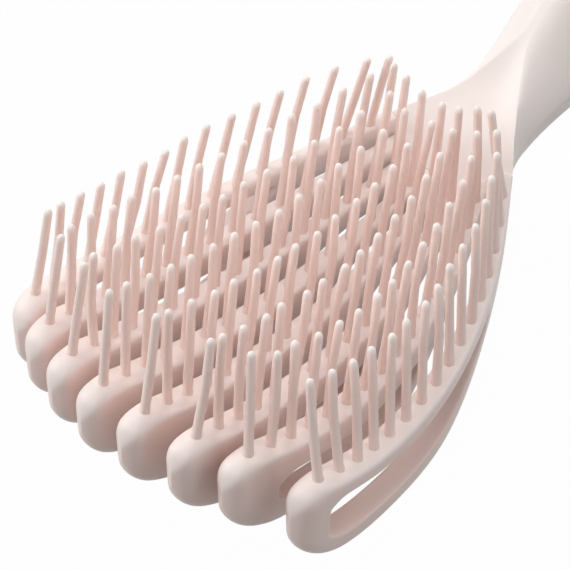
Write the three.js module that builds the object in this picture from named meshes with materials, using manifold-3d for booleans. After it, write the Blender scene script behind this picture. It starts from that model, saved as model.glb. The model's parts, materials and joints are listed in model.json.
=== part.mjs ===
// Scalp massage brush: eight looped, sprung fingers with sixteen pins each, on a two-shell handle.
// Millimetres, +Z up. The brush lies on its back, pins up, with the handle towards +Y.
import * as THREE from "three";
import { mergeVertices } from "three/addons/utils/BufferGeometryUtils.js";
import Module from "manifold-3d";

const wasm = await Module();
wasm.setup();

// Driving dimensions: the fan of fingers.
const FINGER_COUNT = 8;
const PINS_PER_FINGER = 16;
const ROW_LENGTH = 75; // first pin to last pin on a finger at the middle
const FRONT_HALF_SPAN = 31.5; // middle of the brush to the outer finger, at its first pin
const REAR_HALF_SPAN = 14.4; // the same at its last pin
const FRONT_FLARE = 7.2; // degrees that an outer finger still spreads at its first pin
const REAR_TAPER = 32.6; // degrees that an outer finger closes in at its last pin
const FRONT_SETBACK = 10.5; // how far an outer first pin stands behind a middle one
const REAR_SETBACK = 4; // the same for the last pins
const ROW_SAG = 6.2; // depth of the hollow along a row of pins
const SIDE_FRONT_DROP = 3; // outer fingers lie lower than the middle at the first pin
const SIDE_REAR_RISE = 3.8; // and higher at the last pin

// Driving dimensions: one finger.
const FINGER_FRONT_WIDTH = 6.2;
const FINGER_REAR_WIDTH = 3.2;
const NOSE_LEAD = 4.6; // solid nose in front of the first pin
const NOSE_TOP_RADIUS = 3;
const NOSE_BOTTOM_RADIUS = 5;
const NOSE_SIDE_RADIUS = 2.2; // seen from above
const LOOP_DEPTH = 15; // pin face to the back of the loop
const RAIL_FRONT_DEPTH = 6.2; // front rail, at the nose
const RAIL_REAR_DEPTH = 3.6; // front rail, where it has thinned
const RAIL_THINNING = (8 / 15) * ROW_LENGTH; // length over which it thins
const BACK_STRAP = 2.6; // thickness of the strap that closes the loop at the back
const WINDOW_START = 1.3; // front end of the window, behind the first pin
const WINDOW_CORNER = 2;
const WINDOW_END_GAP = 1.5; // height at which the window ends
const TAPER_START = 0.4 * ROW_LENGTH; // from here, behind the first pin, the loop closes to the root
const TAPER_END = ROW_LENGTH - 4;
const ROOT_DROP = 3.2; // underside of the finger below its hinge

// Driving dimensions: the sprung root of a finger.
const STEP_BEHIND_PIN = 1.9; // end of the rail behind the last pin
const HINGE_BEHIND_PIN = 4.4;
const HINGE_SIDE_RISE = 1.9; // outer hinges above the handle's middle line
const BULB_RADIUS = 2.1;
const NECK_THICKNESS = 2.8;
const ROOT_WIDTH = 0.115 * REAR_HALF_SPAN;

// Driving dimensions: pins.
const PIN_LENGTH = 18.5;
const PIN_OUTER_LAST_LENGTH = 16.4; // last pin of an outer finger
const PIN_SHORTENING_FROM = 0.6 * ROW_LENGTH; // from here, behind the first pin, they get shorter
const PIN_FOOT_DIAMETER = 1.6;
const PIN_TIP_DIAMETER = 1.3;
const PIN_BACK_LEAN = 3.4; // degrees towards the handle
const PIN_INWARD_LEAN = 8.5; // degrees towards the middle, on the outer fingers
const PIN_SIDES = 6;
const STRIP_WIDTH = 1.7; // backing strip that carries the pins
const STRIP_THICKNESS = 1.4;
const STRIP_OVERHANG = 1.2; // strip beyond its end pins

// Driving dimensions: handle.
const ROOT_Y = ROW_LENGTH + STEP_BEHIND_PIN; // the middle fingers end and the handle starts here
const HANDLE_END = 208; // end of the handle behind the middle first pin
const AXIS_ROOT_Z = 1.6; // height of the handle's middle line at the root
const AXIS_END_Z = 9;
const AXIS_ROOT_SLOPE = 0.55;
const AXIS_END_SLOPE = -0.5;
const ROOT_HALF_WIDTH = REAR_HALF_SPAN + 2.9;
const NECK_HALF_WIDTH = REAR_HALF_SPAN - 6;
const NECK_AT = ROOT_Y + 18.1; // narrowest place
const GRIP_HALF_WIDTH = 12.9;
const GRIP_AT = ROOT_Y + 55.1; // from here the grip is full
const ROOT_FRONT_RISE = 5.1; // pin face above the middle line, at the root
const NECK_FRONT_RISE = 4.6;
const RIDGE_RISE = 10.8; // front ridge of the grip above the middle line
const RIDGE_FROM = ROOT_Y + 12; // from here the two edges of the scooped face close in
const RIDGE_AT = ROOT_Y + 26.6; // and here they meet in the ridge
const ROOT_SCOOP = 3.7; // edges of the scooped face above its middle
const NECK_SCOOP = 1.6;
const SCOOP_EDGE = 1.6; // side of the neck outside the edge of the scooped face
const ROOT_BACK_DROP = 4; // back below the middle line
const NECK_BACK_DROP = 8.4;
const GRIP_BACK_DROP = 11.6;
const END_ROUND = 12; // length of the rounded end
const ROOT_SQUARENESS = 0.55; // power that squares the back's cross-section at the root, 1 is round
const SHELL_WALL = 1.3;

// Driving dimensions: root comb and the pegs that join the shells.
const COMB_DEPTH = 7.5;
const PEG_SHARES = [0.27, 0.56, 0.85]; // places of the pegs from the root to the end of the handle
const PEG_RADIUS = 2;
const PEG_SOCKET_WALL = 1.4;
const PEG_SIDES = 12;

// Clearances.
const SEAT_GAP = 0.3; // between pieces that fit into each other
const SWING_GAP = 0.7; // between a finger's end and the shells' lips
const FINGER_FLAT = 0.4; // depth of the flat on which a finger rests
const HANDLE_FLAT = 1.4; // depth of the flat under the end of the handle

const lerp = THREE.MathUtils.lerp;
const smooth = THREE.MathUtils.smoothstep;
const radians = THREE.MathUtils.degToRad;

// Cubic through two values with given slopes, s from 0 to 1.
function hermite(s, from, to, slopeFrom, slopeTo) {
  const s2 = s * s;
  const s3 = s2 * s;
  return (
    (2 * s3 - 3 * s2 + 1) * from +
    (s3 - 2 * s2 + s) * slopeFrom +
    (3 * s2 - 2 * s3) * to +
    (s3 - s2) * slopeTo
  );
}

function steps(from, to, count) {
  return Array.from({ length: count + 1 }, (_, k) => lerp(from, to, k / count));
}

// Drop of a rounded corner from its full height or width, at a distance from the front.
function cornerDrop(distance, radius) {
  const inside = Math.max(radius - distance, 0);
  return radius - Math.sqrt(radius * radius - inside * inside);
}

// Closed geometry as a solid for joining and cutting, with pinched triangles left out.
function solid(geometry) {
  const bare = geometry.clone();
  for (const name of Object.keys(bare.attributes)) {
    if (name !== "position") bare.deleteAttribute(name);
  }
  const merged = mergeVertices(bare, 1e-4);
  const index = merged.index.array;
  const kept = [];
  for (let i = 0; i < index.length; i += 3) {
    const [a, b, c] = [index[i], index[i + 1], index[i + 2]];
    if (a !== b && b !== c && c !== a) kept.push(a, b, c);
  }
  const vertProperties = merged.attributes.position.array;
  const triVerts = new Uint32Array(kept);
  return new wasm.Manifold(new wasm.Mesh({ numProp: 3, vertProperties, triVerts }));
}

function geometryOf(body) {
  const mesh = body.getMesh();
  const geometry = new THREE.BufferGeometry();
  geometry.setAttribute("position", new THREE.BufferAttribute(mesh.vertProperties, 3));
  geometry.setIndex(new THREE.BufferAttribute(mesh.triVerts, 1));
  geometry.computeVertexNormals();
  return geometry;
}

// Side view outline (y, z) carried across a width about the middle plane.
function plank(outline, width) {
  const clockwise = THREE.ShapeUtils.isClockWise(outline);
  const shape = new THREE.Shape(clockwise ? [...outline].reverse() : outline);
  const geometry = new THREE.ExtrudeGeometry(shape, { depth: width, bevelEnabled: false });
  geometry.translate(0, 0, -width / 2).rotateY(Math.PI / 2).rotateX(Math.PI / 2);
  return solid(geometry);
}

// Plan view outline (x, y) carried through the height.
function slab(outline, low, high) {
  const shape = new THREE.Shape(outline);
  const geometry = new THREE.ExtrudeGeometry(shape, { depth: high - low, bevelEnabled: false });
  return solid(geometry.translate(0, 0, low));
}

// Middle line of the handle, which is also the parting line of the shells.
function axisZ(y) {
  const length = HANDLE_END - ROOT_Y;
  const s = (y - ROOT_Y) / length;
  if (s < 0) return AXIS_ROOT_Z + AXIS_ROOT_SLOPE * (y - ROOT_Y);
  return hermite(s, AXIS_ROOT_Z, AXIS_END_Z, AXIS_ROOT_SLOPE * length, AXIS_END_SLOPE * length);
}

// One finger's lines: side runs from -1 at the far left finger to 1 at the far right one.
class FingerLine {
  constructor(side) {
    this.side = side;
    this.firstPin = FRONT_SETBACK * side * side;
    this.lastPin = ROW_LENGTH + REAR_SETBACK * side * side;
    this.stepY = this.lastPin + STEP_BEHIND_PIN;
    this.hingeY = this.lastPin + HINGE_BEHIND_PIN;
    this.hingeZ = axisZ(this.hingeY) + HINGE_SIDE_RISE * side * side;
  }

  share(y) {
    return (y - this.firstPin) / (this.lastPin - this.firstPin);
  }

  middle(y) {
    const flare = ROW_LENGTH * Math.tan(radians(FRONT_FLARE));
    const taper = -ROW_LENGTH * Math.tan(radians(REAR_TAPER));
    return this.side * hermite(this.share(y), FRONT_HALF_SPAN, REAR_HALF_SPAN, flare, taper);
  }

  width(y) {
    const full = lerp(FINGER_FRONT_WIDTH, FINGER_REAR_WIDTH, Math.max(this.share(y), 0));
    const fromNose = y - this.firstPin + NOSE_LEAD;
    if (y <= this.lastPin) return full - 2 * cornerDrop(fromNose, NOSE_SIDE_RADIUS);
    return lerp(FINGER_REAR_WIDTH, ROOT_WIDTH, smooth(y, this.lastPin, this.stepY));
  }

  // Pin face: a shallow hollow along the row, with the outer fingers turned up towards the root.
  face(y) {
    const t = this.share(y);
    const turn = lerp(-SIDE_FRONT_DROP, SIDE_REAR_RISE, t);
    return ROW_SAG * (2 * t - 1) ** 2 + turn * this.side * this.side;
  }

  back(y) {
    const closing = smooth(y - this.firstPin, TAPER_START, TAPER_END);
    return lerp(this.face(y) - LOOP_DEPTH, this.hingeZ - ROOT_DROP, closing);
  }

  windowTop(y) {
    const thinning = smooth(y - this.firstPin, 0, RAIL_THINNING);
    return this.face(y) - lerp(RAIL_FRONT_DEPTH, RAIL_REAR_DEPTH, thinning);
  }

  windowBottom(y) {
    return this.back(y) + BACK_STRAP;
  }

  // First place where the closing window is no higher than its end gap.
  windowEnd() {
    return steps(this.firstPin + WINDOW_START, this.lastPin, 4 * ROW_LENGTH).find(
      (y) => this.windowTop(y) - this.windowBottom(y) < WINDOW_END_GAP,
    );
  }
}

const WINDOW_STEPS = 9;
const ROOT_STEPS = 5;
const NOSE_SHARES = [0, 0.06, 0.25, 0.5, 0.75, 1];

// Side view as columns of cells between stations along y and levels in z, carried across the width.
// Each filled cell gets its two sides, and a face wherever the next cell is empty.
function board(stations, levels, filled, middle, width) {
  const columns = stations.map(levels);
  const rows = columns[0].length;
  const points = [];
  columns.forEach((column, i) => {
    const y = stations[i];
    const reach = width(y) / 2;
    for (const z of column) points.push(middle(y) - reach, y, z, middle(y) + reach, y, z);
  });
  const at = (i, j, side) => 2 * (i * rows + j) + side;
  const isFilled = (i, j) =>
    i >= 0 && j >= 0 && i + 1 < columns.length && j + 1 < rows && filled(stations[i], stations[i + 1], j);
  const faces = [];
  const quad = (a, b, c, d) => faces.push(a, b, c, a, c, d);
  for (let i = 0; i + 1 < columns.length; i += 1) {
    for (let j = 0; j + 1 < rows; j += 1) {
      if (!isFilled(i, j)) continue;
      const [a0, a1] = [at(i, j, 0), at(i, j, 1)];
      const [b0, b1] = [at(i + 1, j, 0), at(i + 1, j, 1)];
      const [c0, c1] = [at(i + 1, j + 1, 0), at(i + 1, j + 1, 1)];
      const [d0, d1] = [at(i, j + 1, 0), at(i, j + 1, 1)];
      quad(a1, b1, c1, d1);
      quad(a0, d0, c0, b0);
      if (!isFilled(i, j - 1)) quad(a0, b0, b1, a1);
      if (!isFilled(i, j + 1)) quad(d0, d1, c1, c0);
      if (!isFilled(i - 1, j)) quad(a0, a1, d1, d0);
      if (!isFilled(i + 1, j)) quad(b0, c0, c1, b1);
    }
  }
  const geometry = new THREE.BufferGeometry();
  geometry.setAttribute("position", new THREE.Float32BufferAttribute(points, 3));
  geometry.setIndex(faces);
  return solid(geometry);
}

// Rail, nose, back strap and window of one finger.
function fingerLoop(line) {
  const nose = line.firstPin - NOSE_LEAD;
  const front = line.firstPin + WINDOW_START;
  const inner = front + WINDOW_CORNER;
  const end = line.windowEnd();
  const stations = [
    ...NOSE_SHARES.map((share) => nose + share * NOSE_BOTTOM_RADIUS),
    front,
    ...steps(inner, end, WINDOW_STEPS),
    ...steps(end, line.stepY, ROOT_STEPS).slice(1),
  ];
  const levels = (y) => {
    const low = line.back(y) + cornerDrop(y - nose, NOSE_BOTTOM_RADIUS);
    const high = line.face(y) - cornerDrop(y - nose, NOSE_TOP_RADIUS);
    if (y < front || y > end) return [low, lerp(low, high, 0.35), lerp(low, high, 0.65), high];
    const corner = y < inner ? WINDOW_CORNER : 0;
    return [low, line.windowBottom(y) + corner, line.windowTop(y) - corner, high];
  };
  const filled = (from, to, row) => row !== 1 || from < front || to > end;
  return board(stations, levels, filled, (y) => line.middle(y), (y) => line.width(y));
}

// Thin neck and round bulb at the end of a finger, grown by a gap for the socket that takes them.
function fingerRoot(line, gap, front) {
  const radius = BULB_RADIUS + gap;
  const neck = NECK_THICKNESS / 2 + gap;
  const bulb = steps(180, 0, 12).map((a) => line.hingeY + radius * Math.cos(radians(a)));
  const stations = [front, ...bulb.slice(1, -1), line.hingeY + radius * Math.cos(radians(4))];
  const levels = (y) => {
    const round = Math.sqrt(Math.max(radius * radius - (y - line.hingeY) ** 2, 0));
    const half = y < line.hingeY ? Math.max(neck, round) : round;
    return [line.hingeZ - half, line.hingeZ + half];
  };
  return board(stations, levels, () => true, (y) => line.middle(y), () => ROOT_WIDTH + 2 * gap);
}

// Bar along the pin face, from above the face down to a depth: the strip, or the groove that takes it.
function faceBar(line, overhang, above, depth, width) {
  const pins = steps(line.firstPin, line.lastPin, PINS_PER_FINGER - 1);
  const stations = [line.firstPin - overhang, ...pins, line.lastPin + overhang];
  const levels = (y) => [line.face(y) - depth, line.face(y) + above];
  return board(stations, levels, () => true, (y) => line.middle(y), () => width);
}

function fingerFrame(line) {
  const groove = faceBar(
    line,
    STRIP_OVERHANG + SEAT_GAP,
    1,
    STRIP_THICKNESS + SEAT_GAP,
    STRIP_WIDTH + 2 * SEAT_GAP,
  );
  const root = fingerRoot(line, 0, line.stepY - SEAT_GAP);
  return fingerLoop(line).add(root).subtract(groove);
}

// A pin: slight taper and a blunt tip, its foot sunk into the strip.
function pinGeometry(length) {
  const foot = PIN_FOOT_DIAMETER / 2;
  const tip = PIN_TIP_DIAMETER / 2;
  const sunk = STRIP_THICKNESS / 2;
  const profile = [
    new THREE.Vector2(0, -sunk),
    new THREE.Vector2(foot, -sunk),
    new THREE.Vector2(tip, length - tip / 2),
    new THREE.Vector2(0, length),
  ];
  return new THREE.LatheGeometry(profile, PIN_SIDES).rotateX(Math.PI / 2);
}

function pinStrip(line) {
  const back = Math.tan(radians(PIN_BACK_LEAN));
  const inward = -(line.side ** 5) * Math.tan(radians(PIN_INWARD_LEAN));
  const up = new THREE.Vector3(0, 0, 1);
  const lean = new THREE.Vector3(inward, back, 1).normalize();
  const turn = new THREE.Quaternion().setFromUnitVectors(up, lean);
  const lastLength = lerp(PIN_LENGTH, PIN_OUTER_LAST_LENGTH, line.side ** 4);
  let strip = faceBar(line, STRIP_OVERHANG, 0, STRIP_THICKNESS, STRIP_WIDTH);
  for (const y of steps(line.firstPin, line.lastPin, PINS_PER_FINGER - 1)) {
    const shorter = smooth(y, line.firstPin + PIN_SHORTENING_FROM, line.lastPin);
    const length = lerp(PIN_LENGTH, lastLength, shorter);
    const pin = pinGeometry(length).applyQuaternion(turn);
    strip = strip.add(solid(pin.translate(line.middle(y), y, line.face(y))));
  }
  return strip;
}

// Cross-section of the handle at y, drawn in by an inset: scooped or ridged front, round back.
function section(y, inset) {
  const toNeck = THREE.MathUtils.clamp((y - ROOT_Y) / (NECK_AT - ROOT_Y), 0, 1);
  const toGrip = smooth(y, NECK_AT, GRIP_AT);
  const toRidge = smooth(y, RIDGE_FROM, RIDGE_AT);
  const fromEnd = THREE.MathUtils.clamp((HANDLE_END - inset - y) / END_ROUND, 0, 1);
  const round = Math.sqrt(Math.max(1 - (1 - fromEnd) ** 2, 0));
  const neckWidth = lerp(ROOT_HALF_WIDTH, NECK_HALF_WIDTH, smooth(toNeck, 0, 1));
  const half = Math.max(lerp(neckWidth, GRIP_HALF_WIDTH, toGrip) * round - inset, 0.05);
  const neckFront = lerp(ROOT_FRONT_RISE, NECK_FRONT_RISE, toNeck);
  const front = Math.max(lerp(neckFront, RIDGE_RISE, toRidge) * round - inset, 0.05);
  const scoop = lerp(ROOT_SCOOP, NECK_SCOOP, toNeck) * (1 - toRidge);
  const neckBack = lerp(ROOT_BACK_DROP, NECK_BACK_DROP, toNeck);
  const back = Math.max(lerp(neckBack, GRIP_BACK_DROP, toGrip) * round - inset, 0.05);
  const edge = Math.max(half - SCOOP_EDGE, half / 2) * (1 - 0.9 * toRidge);
  const middle = axisZ(y);
  const frontZ = (x) => {
    const out = Math.abs(x);
    if (out <= edge) return middle + front + scoop * (out / edge) ** 2;
    const r = Math.min((out - edge) / (half - edge), 1);
    const soft = 0.5 * (1 - r ** 1.5) + 0.5 * Math.sqrt(1 - r * r);
    return middle + (front + scoop) * soft;
  };
  const shares = [0, edge / 2, edge, lerp(edge, half, 0.4), lerp(edge, half, 0.8), half];
  const right = shares.map((x) => new THREE.Vector2(x, frontZ(x)));
  const squareness = lerp(ROOT_SQUARENESS, 1, smooth(toNeck, 0, 0.6));
  const quarter = [30, 60].map((a) => {
    const x = half * Math.cos(radians(a)) ** squareness;
    return new THREE.Vector2(x, middle - back * Math.sin(radians(a)) ** squareness);
  });
  const mirrored = [...quarter].reverse().map((p) => new THREE.Vector2(-p.x, p.y));
  const below = [...quarter, new THREE.Vector2(0, middle - back), ...mirrored];
  const left = shares.slice(1).reverse().map((x) => new THREE.Vector2(-x, frontZ(x)));
  return [...right, ...below, ...left];
}

// Closed skin through the cross-sections, with a fan of triangles at each end.
function loft(stations, inset) {
  const rings = stations.map((y) => section(y, inset));
  const count = rings[0].length;
  const points = [];
  rings.forEach((ring, s) => ring.forEach((p) => points.push(p.x, stations[s], p.y)));
  const faces = [];
  for (let s = 0; s + 1 < rings.length; s += 1) {
    for (let k = 0; k < count; k += 1) {
      const a = s * count + k;
      const b = s * count + ((k + 1) % count);
      faces.push(a, b, b + count, a, b + count, a + count);
    }
  }
  const ends = [0, rings.length - 1];
  for (const s of ends) {
    const hub = points.length / 3;
    points.push(0, stations[s], axisZ(stations[s]));
    for (let k = 0; k < count; k += 1) {
      const a = s * count + k;
      const b = s * count + ((k + 1) % count);
      if (s === 0) faces.push(hub, b, a);
      else faces.push(hub, a, b);
    }
  }
  const geometry = new THREE.BufferGeometry();
  geometry.setAttribute("position", new THREE.Float32BufferAttribute(points, 3));
  geometry.setIndex(faces);
  return solid(geometry);
}

const FAR = 300; // reach of the cutting solids, past every piece
const MOUTH_OVERRUN = 12; // the skins start this far in front of the root and are trimmed there

function handleStations(front, end) {
  const neck = steps(front, RIDGE_AT, 9);
  const grip = steps(RIDGE_AT, HANDLE_END - END_ROUND, 5).slice(1);
  const tail = [0.45, 0.75, 0.92, 1].map((s) => lerp(HANDLE_END - END_ROUND, end, s));
  return [...neck, ...grip, ...tail];
}

// Half space in front of (sign 1) or behind (sign -1) the parting line, less half a seat gap.
function partingHalf(stations, sign) {
  const line = stations.map((y) => new THREE.Vector2(y, axisZ(y) + (sign * SEAT_GAP) / 2));
  const first = stations[0];
  const last = stations[stations.length - 1];
  const outline = [
    ...line,
    new THREE.Vector2(last + FAR, axisZ(last)),
    new THREE.Vector2(last + FAR, sign * FAR),
    new THREE.Vector2(first - FAR, sign * FAR),
    new THREE.Vector2(first - FAR, axisZ(first)),
  ];
  return plank(outline, FAR);
}

const LINES = steps(-1, 1, FINGER_COUNT - 1).map((side) => new FingerLine(side));

// Everything in front of the arc on which the fingers end, moved back by an offset.
function mouthTrim(offset) {
  const arcPoints = LINES.map((line) => {
    const y = line.stepY + offset;
    return new THREE.Vector2(line.middle(y), y);
  });
  const first = arcPoints[0];
  const last = arcPoints[arcPoints.length - 1];
  const outline = [
    new THREE.Vector2(-FAR, first.y),
    ...arcPoints,
    new THREE.Vector2(FAR, last.y),
    new THREE.Vector2(FAR, -FAR),
    new THREE.Vector2(-FAR, -FAR),
  ];
  return slab(outline, -FAR, FAR);
}

function peg(radius, y, low, high) {
  const geometry = new THREE.CylinderGeometry(radius, radius, high - low, PEG_SIDES);
  return solid(geometry.rotateX(Math.PI / 2).translate(0, y, (low + high) / 2));
}

const PEG_STATIONS = PEG_SHARES.map((share) => lerp(ROOT_Y, HANDLE_END, share));
const SKIN_FRONT = ROOT_Y - MOUTH_OVERRUN;
const OUTER_STATIONS = handleStations(SKIN_FRONT, HANDLE_END - 0.05);
const INNER_STATIONS = handleStations(SKIN_FRONT - 1, HANDLE_END - 2 * SHELL_WALL);
const outerSkin = loft(OUTER_STATIONS, 0);
const innerSkin = loft(INNER_STATIONS, SHELL_WALL);
const wall = outerSkin.subtract(innerSkin).subtract(mouthTrim(SWING_GAP));

// Front shell: scooped neck, ridged grip, and pegs that hang from its inside.
function frontShell() {
  let shell = wall.intersect(partingHalf(OUTER_STATIONS, 1));
  for (const y of PEG_STATIONS) {
    const low = axisZ(y) - GRIP_BACK_DROP / 2;
    const shaft = peg(PEG_RADIUS, y, low, axisZ(y) + FAR / 2);
    shell = shell.add(shaft.intersect(outerSkin));
  }
  return shell;
}

// Rear shell: round back, and tubes that take the pegs.
function rearShell() {
  const half = partingHalf(OUTER_STATIONS, -1);
  let shell = wall.intersect(half);
  for (const y of PEG_STATIONS) {
    const inner = PEG_RADIUS + SEAT_GAP;
    const outer = inner + PEG_SOCKET_WALL;
    const tube = peg(outer, y, axisZ(y) - FAR / 2, axisZ(y) + 1).intersect(outerSkin);
    const bore = peg(inner, y, axisZ(y) - GRIP_BACK_DROP / 2 - SEAT_GAP, axisZ(y) + 2);
    shell = shell.add(tube.intersect(half)).subtract(bore);
  }
  return shell;
}

// Root comb: fills the mouth of the shells and holds the eight root bulbs.
function rootComb() {
  const fill = loft(INNER_STATIONS, SHELL_WALL + SEAT_GAP);
  const behind = mouthTrim(SWING_GAP + COMB_DEPTH);
  let comb = fill.intersect(behind).subtract(mouthTrim(SWING_GAP));
  for (const line of LINES) {
    comb = comb.subtract(fingerRoot(line, SEAT_GAP, line.stepY - ROOT_WIDTH));
  }
  return comb;
}

// The brush rests on flats under its middle fingers and under the end of its handle.
function restLine() {
  const middle = LINES[Math.floor(FINGER_COUNT / 2)];
  const head = steps(middle.firstPin, middle.lastPin, 60).map(
    (y) => new THREE.Vector2(y, middle.back(y) + FINGER_FLAT),
  );
  const tail = steps(NECK_AT, HANDLE_END, 60).map((y) => {
    const low = Math.min(...section(y, 0).map((p) => p.y));
    return new THREE.Vector2(y, low + HANDLE_FLAT);
  });
  let best = { slope: Infinity };
  for (const q of tail) {
    const slopes = head.map((p) => (q.y - p.y) / (q.x - p.x));
    const slope = Math.max(...slopes);
    const p = head[slopes.indexOf(slope)];
    if (slope < best.slope) best = { slope, y: p.x, z: p.y };
  }
  return best;
}

const rest = restLine();
const REST_TILT = Math.atan(rest.slope);

// Solid ground up to the rest line.
function ground() {
  const geometry = new THREE.BoxGeometry(FAR, 2 * FAR, FAR);
  geometry.translate(0, 0, -FAR / 2).rotateX(REST_TILT);
  return solid(geometry.translate(0, rest.y, rest.z));
}

// Finishes: pale pink satin plastic, warmer on the pins.
const SHELL_PLASTIC = { color: 0xe6cfca, roughness: 0.5, metalness: 0 };
const FINGER_PLASTIC = { color: 0xe3cbc6, roughness: 0.48, metalness: 0 };
const PIN_PLASTIC = { color: 0xdcb5a8, roughness: 0.42, metalness: 0 };
const COMB_PLASTIC = { color: 0xc9a9a2, roughness: 0.55, metalness: 0 };

function piece(name, body, finish, pivot) {
  const geometry = geometryOf(body).translate(-pivot.x, -pivot.y, -pivot.z);
  const mesh = new THREE.Mesh(geometry, new THREE.MeshStandardMaterial(finish));
  mesh.name = name;
  return mesh;
}

const brush = new THREE.Group();
const floor = ground();

const handle = new THREE.Group();
handle.name = "handle";
const origin = new THREE.Vector3();
handle.add(
  piece("handle_front_shell", frontShell(), SHELL_PLASTIC, origin),
  piece("handle_rear_shell", rearShell().subtract(floor), SHELL_PLASTIC, origin),
  piece("root_comb", rootComb(), COMB_PLASTIC, origin),
);
brush.add(handle);

// Each finger hangs on a group placed at its hinge.
LINES.forEach((line, k) => {
  const number = k + 1;
  const hinge = new THREE.Vector3(line.middle(line.hingeY), line.hingeY, line.hingeZ);
  const finger = new THREE.Group();
  finger.name = `finger_${number}`;
  finger.position.copy(hinge);
  const frame = fingerFrame(line).subtract(floor);
  finger.add(
    piece(`finger_frame_${number}`, frame, FINGER_PLASTIC, hinge),
    piece(`pin_strip_${number}`, pinStrip(line), PIN_PLASTIC, hinge),
  );
  brush.add(finger);
});

// Lay the brush on its flats and centre its outline over the origin.
brush.rotation.x = -REST_TILT;
const part = new THREE.Group();
part.add(brush);
part.updateMatrixWorld(true);
const bounds = new THREE.Box3().setFromObject(part, true);
const centre = bounds.getCenter(new THREE.Vector3());
brush.position.set(-centre.x, -centre.y, -bounds.min.z);

export default part;
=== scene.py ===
"""Scalp massage brush: sprung looped fingers with rows of pins, on a two-shell handle.

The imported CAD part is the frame. The fingers, pins and shells are rebuilt here as smooth surfaces
on the same lines as the solids, in millimetres in the brush's own frame (y from the first middle
pin towards the handle, z up from the lowest point of the middle pin face), then laid on the floor.
"""

import json
import logging
import math
from dataclasses import dataclass
from enum import Enum
from typing import Any

import bpy
import numpy as np
from bpy.types import Material, Node, NodeSocket, Object, World
from mathutils import Matrix, Vector


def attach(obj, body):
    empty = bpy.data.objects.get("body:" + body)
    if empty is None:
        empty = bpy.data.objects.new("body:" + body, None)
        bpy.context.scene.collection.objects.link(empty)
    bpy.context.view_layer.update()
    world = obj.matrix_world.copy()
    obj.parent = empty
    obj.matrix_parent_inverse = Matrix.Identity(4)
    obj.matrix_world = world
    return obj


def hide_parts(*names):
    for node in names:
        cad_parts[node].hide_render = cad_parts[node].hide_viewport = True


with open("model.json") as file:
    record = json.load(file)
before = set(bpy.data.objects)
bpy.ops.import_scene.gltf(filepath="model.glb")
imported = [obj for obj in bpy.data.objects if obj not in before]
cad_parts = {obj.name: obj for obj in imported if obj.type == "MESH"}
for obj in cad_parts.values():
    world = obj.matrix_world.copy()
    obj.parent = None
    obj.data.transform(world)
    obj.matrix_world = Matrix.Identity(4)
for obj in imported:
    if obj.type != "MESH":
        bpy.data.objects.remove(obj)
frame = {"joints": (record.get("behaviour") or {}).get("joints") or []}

log = logging.getLogger("brush")
Array = np.ndarray
Real = Array | float
Colour = Point = tuple[float, float, float]
Span = tuple[float, float]
MM = 0.001
IMAGE_SIDE = 570
WHITE: Colour = (1.0, 1.0, 1.0)

# Numbers on the points of the meshes: a finger's depth below its pin face, 1 at the loop's depth,
# and how near a pin's foot the point is, 1 at the foot.
# The depth number steers the painted shade on the fingers' sides.
DEPTH = "depth"
# The foot number steers the painted highlight at the pins' tips.
FOOT = "foot"

TINY = 1e-6


def smooth(x: Real, low: float, high: float) -> Array:
    """Smooth step from 0 at low to 1 at high."""
    t = np.clip((x - low) / (high - low), 0.0, 1.0)
    return t * t * (3.0 - 2.0 * t)


def lerp(a: Any, b: Any, t: Any) -> Any:
    """Straight mix of a and b."""
    return a + (b - a) * t


def hermite(s: Array, start: float, end: float, slope_start: float, slope_end: float) -> Array:
    """Cubic that has these values and slopes at s = 0, the start, and at s = 1, the end."""
    turns = s * (1 - s) * (slope_start * (1 - s) - slope_end * s)
    return lerp(start, end, s * s * (3 - 2 * s)) + turns


def corner_drop(distance: Array, radius: float) -> Array:
    """Drop of a rounded corner from its full height: radius less the circle's height there."""
    inside = np.maximum(radius - distance, 0.0)
    return radius - np.sqrt(np.maximum(radius * radius - inside * inside, 0.0))


def scatter(index: Array, seed: float) -> Array:
    """Repeatable numbers from -1 to 1: the fraction of a large sine of the index."""
    value = np.sin(index * 12.9898 + seed * 78.233) * 43758.5453
    return 2.0 * (value - np.floor(value)) - 1.0


class Half(Enum):
    """The two shells of the handle, each with the step that turns its faces outwards."""

    FRONT = 1
    REAR = -1


@dataclass(frozen=True)
class HandleLine:
    """Middle line of the handle, which the shells part on."""

    root_y: float = 76.9
    end_y: float = 208.0
    root_z: float = 1.6
    end_z: float = 9.0
    root_slope: float = 0.55
    end_slope: float = -0.5
    mouth_y: float = 77.6
    mouth_bow: float = 4.0
    mouth_reach: float = 13.1

    def bow(self, x: Real) -> Array:
        """How far the arc of the shells' front edge lies behind its middle at x."""
        out = np.minimum(np.abs(x) / self.mouth_reach, 1.0)
        return self.mouth_bow * out**2

    def height(self, y: Real) -> Array:
        """Height of the line: straight in front of the root, then a cubic to the end.

        Args:
            y: Places along the handle.

        Returns:
            Heights at these places.
        """
        length = self.end_y - self.root_y
        s = (y - self.root_y) / length
        first, last = self.root_slope * length, self.end_slope * length
        curve = hermite(np.maximum(s, 0.0), self.root_z, self.end_z, first, last)
        return curve + first * np.minimum(s, 0.0)


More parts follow.
